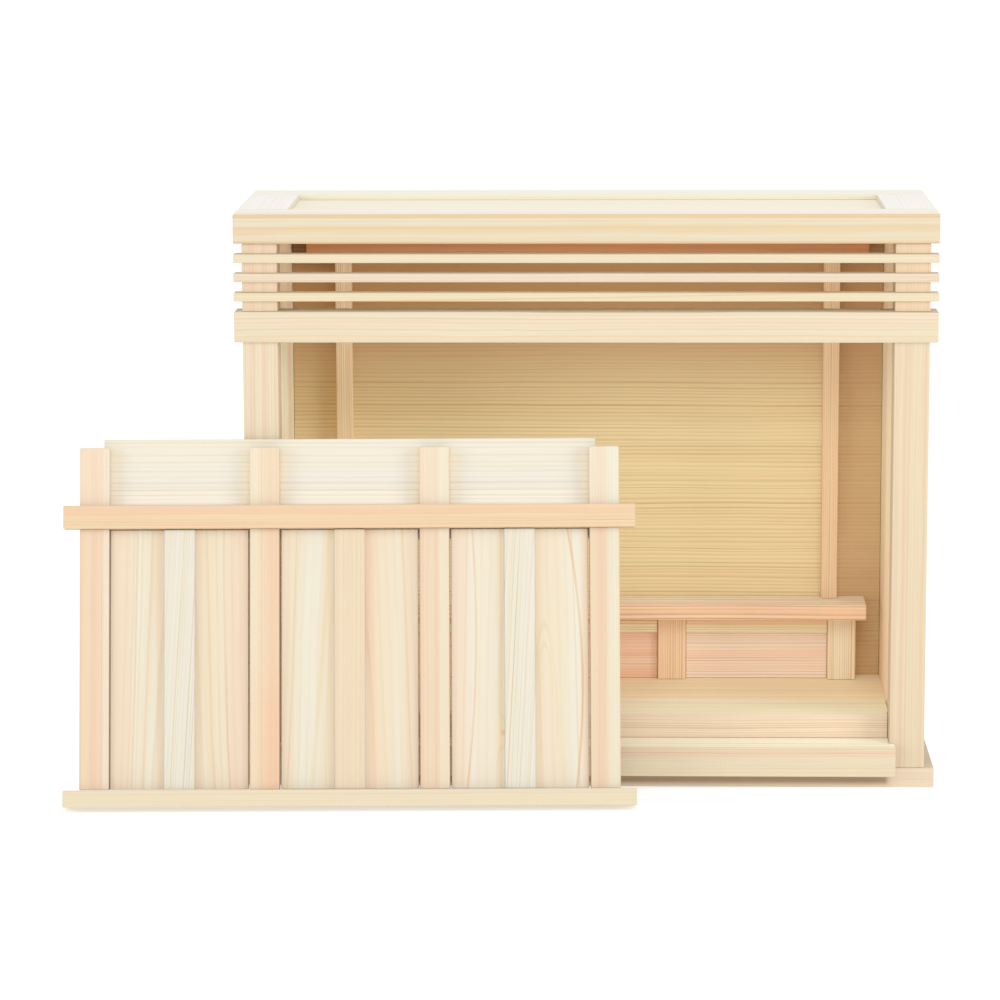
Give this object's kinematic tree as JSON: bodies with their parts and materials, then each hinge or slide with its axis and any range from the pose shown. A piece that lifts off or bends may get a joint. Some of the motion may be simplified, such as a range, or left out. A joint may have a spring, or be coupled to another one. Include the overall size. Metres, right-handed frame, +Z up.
{
  "type": "household altar cabinet",
  "caption": "Open-fronted box altar cabinet in plain wood with a stepped floor, low inner shelf and slatted head, its lift-out three-door front leaning on one front post.",
  "frame": {"origin": "middle of the case's flat underside", "axes": "+Z up, +X to the viewer's right along the case's width, -Y out of the open front"},
  "size_m": [0.6843, 0.2892, 0.4575],
  "materials": {
    "cream_cypress": "bare planed wood, fine straight grain, matte",
    "straw_cypress": "bare planed wood, fine straight grain, matte",
    "honey_cypress": "bare planed board, darker line grain, matte",
    "peach_cypress": "bare planed wood, pinkish heartwood, matte",
    "rose_cypress": "bare planed wood, rosy heartwood, matte",
    "pale_cypress": "bare planed sapwood, nearly white, matte"
  },
  "bodies": {
    "root": {"base_board": "straw_cypress", "front_post_left": "straw_cypress", "front_post_right": "straw_cypress", "rear_post_left": "straw_cypress", "rear_post_right": "straw_cypress", "side_panel_left": "rose_cypress", "side_panel_right": "rose_cypress", "back_panel": "honey_cypress", "top_rail_front": "cream_cypress", "top_rail_rear": "cream_cypress", "top_rail_left": "cream_cypress", "top_rail_right": "cream_cypress", "top_panel": "pale_cypress", "lintel": "straw_cypress", "slat_lower": "cream_cypress", "slat_middle": "cream_cypress", "slat_upper": "cream_cypress", "floor_board": "honey_cypress", "upper_step_board": "cream_cypress", "lower_step_board": "cream_cypress", "shelf_board": "rose_cypress", "shelf_leg_outer_left": "straw_cypress", "shelf_leg_inner_left": "straw_cypress", "shelf_leg_inner_right": "straw_cypress", "shelf_leg_outer_right": "straw_cypress", "shelf_rail_left": "straw_cypress", "shelf_rail_middle": "straw_cypress", "shelf_rail_right": "straw_cypress", "shelf_panel_left": "rose_cypress", "shelf_panel_middle": "rose_cypress", "shelf_panel_right": "rose_cypress", "inner_beam": "rose_cypress", "inner_post_left": "rose_cypress", "inner_post_right": "rose_cypress", "front_sill": "cream_cypress", "front_beam": "peach_cypress", "front_stile_outer_left": "peach_cypress", "front_stile_inner_left": "peach_cypress", "front_stile_inner_right": "peach_cypress", "front_stile_outer_right": "peach_cypress", "front_upper_board": "pale_cypress", "door_panel_left": "cream_cypress", "door_panel_middle": "cream_cypress", "door_panel_right": "cream_cypress", "door_strip_left": "pale_cypress", "door_strip_middle": "pale_cypress", "door_strip_right": "pale_cypress"}
  },
  "joints": []
}
